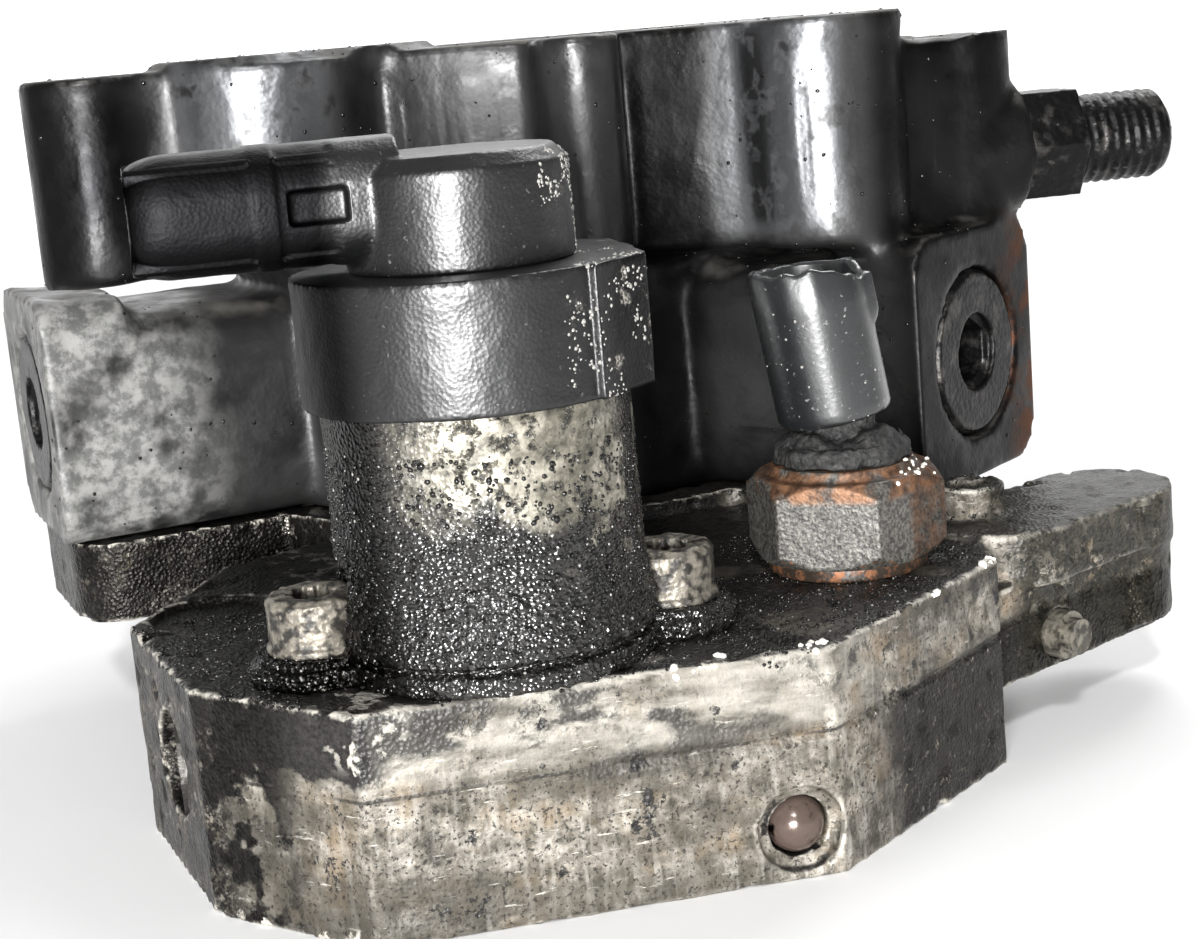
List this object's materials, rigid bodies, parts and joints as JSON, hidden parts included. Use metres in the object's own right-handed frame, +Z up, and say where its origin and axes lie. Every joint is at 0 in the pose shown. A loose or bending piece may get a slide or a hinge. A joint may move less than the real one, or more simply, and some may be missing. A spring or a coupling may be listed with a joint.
{
  "type": "radial fuel pump",
  "caption": "Radial high-pressure fuel pump: black iron housing with plunger lobes on an aluminium end cover carrying a metering valve, sensor and pressed ball plug.",
  "frame": {"origin": "on the drive shaft's axis, in the plane of the end cover's flat base", "axes": "+Z up along the drive shaft towards the mounting face, -Y towards the metering valve, +X towards the high-pressure outlet"},
  "size_m": [0.1574, 0.1892, 0.089],
  "materials": {
    "cast_iron": "black oily sand-cast surface",
    "plug_steel": "blackened steel",
    "steel": "ground steel",
    "spring_steel": "drawn wire",
    "bearing": "plain bearing metal",
    "rubber": "oil seal rubber",
    "cast_aluminium": "oxidised, grimy die casting",
    "valve_metal": "cast metal under tar",
    "screw_steel": "dull zinc, oily",
    "black_plastic": "glass-filled nylon under oil film",
    "shroud_plastic": "glossy nylon",
    "copper": "copper",
    "sensor_brass": "stained brass",
    "terminal": "tinned contact",
    "ball_steel": "polished ball"
  },
  "bodies": {
    "pump": {"pump_housing": "cast_iron", "plunger_lobes": "cast_iron", "mounting_flange": "cast_iron", "lobe_plugs": "plug_steel", "plug_seals": "copper", "plungers": "steel", "plunger_feet": "steel", "plunger_springs": "spring_steel", "valve_seats": "steel", "suction_springs": "spring_steel", "front_bush": "bearing", "rear_bush": "bearing", "thrust_washer": "bearing", "shaft_seal": "rubber", "seal_circlip": "spring_steel", "gear_pin": "steel", "end_cover": "cast_aluminium", "cover_screws": "screw_steel", "cover_seal": "rubber", "feed_cover": "cast_iron", "feed_cover_screws": "screw_steel", "ball_plug": "ball_steel", "arm_bolt": "screw_steel", "overflow_plug": "plug_steel", "overflow_spring": "spring_steel", "inlet_stub": "screw_steel", "return_stub": "plug_steel", "outlet_fitting": "plug_steel", "outlet_spring": "spring_steel", "valve_body": "valve_metal", "valve_screws": "screw_steel", "valve_seals": "rubber", "valve_collar": "black_plastic", "valve_cap": "black_plastic", "valve_terminals": "terminal", "coil_bobbin": "black_plastic", "coil_winding": "copper", "pole_piece": "steel", "metering_sleeve": "steel", "metering_spring": "spring_steel", "sensor_body": "sensor_brass", "sensor_washer": "copper", "sensor_boot": "rubber", "sensor_shroud": "shroud_plastic", "sensor_terminals": "terminal"},
    "shaft": {"drive_shaft": "steel", "feed_coupling": "steel", "feed_drive_gear": "steel"},
    "ring": {"cam_ring": "steel", "ring_bush": "bearing"},
    "driven_gear": {"feed_driven_gear": "steel"},
    "suction_front": {"suction_valve_front": "steel"},
    "suction_left": {"suction_valve_left": "steel"},
    "suction_back": {"suction_valve_back": "steel"},
    "outlet_check": {"outlet_ball": "steel"},
    "overflow": {"overflow_piston": "steel"},
    "metering": {"armature": "steel", "metering_piston": "steel"}
  },
  "joints": [
    {"name": "shaft_spin", "type": "hinge", "parent": "pump", "child": "shaft", "pos_m": [0, 0, 0.06], "axis": [0, 0, 1], "continuous": true},
    {"name": "ring_orbit", "type": "hinge", "parent": "shaft", "child": "ring", "pos_m": [0.00298, -0.00337, 0.04375], "axis": [0, 0, 1], "continuous": true},
    {"name": "driven_gear_spin", "type": "hinge", "parent": "pump", "child": "driven_gear", "pos_m": [0, 0.02, 0.008], "axis": [0, 0, 1], "continuous": true},
    {"name": "suction_front_lift", "type": "slide", "parent": "pump", "child": "suction_front", "axis": [-0.6626, 0.749, 0], "range_m": [0, 0.0008], "stiffness_N_per_m": 400, "springref_m": -0.001, "deforming": ["suction_springs"]},
    {"name": "suction_left_lift", "type": "slide", "parent": "pump", "child": "suction_left", "axis": [0.9799, 0.1994, 0], "range_m": [0, 0.0008], "stiffness_N_per_m": 400, "springref_m": -0.001, "deforming": ["suction_springs"]},
    {"name": "suction_back_lift", "type": "slide", "parent": "pump", "child": "suction_back", "axis": [-0.3173, -0.9483, 0], "range_m": [0, 0.0008], "stiffness_N_per_m": 400, "springref_m": -0.001, "deforming": ["suction_springs"]},
    {"name": "outlet_check_lift", "type": "slide", "parent": "pump", "child": "outlet_check", "axis": [1, 0, 0], "range_m": [0, 0.0015], "stiffness_N_per_m": 300, "springref_m": -0.002, "deforming": ["outlet_spring"]},
    {"name": "overflow_slide", "type": "slide", "parent": "pump", "child": "overflow", "axis": [-1, 0, 0], "range_m": [0, 0.003], "stiffness_N_per_m": 600, "springref_m": -0.003, "deforming": ["overflow_spring"]},
    {"name": "metering_slide", "type": "slide", "parent": "pump", "child": "metering", "axis": [0, 0, -1], "range_m": [0, 0.002], "stiffness_N_per_m": 900, "springref_m": -0.002, "deforming": ["metering_spring"]}
  ],
  "couplings": [
    {"joint": "ring_orbit", "follows": "shaft_spin", "ratio": -1},
    {"joint": "driven_gear_spin", "follows": "shaft_spin", "ratio": -1}
  ]
}
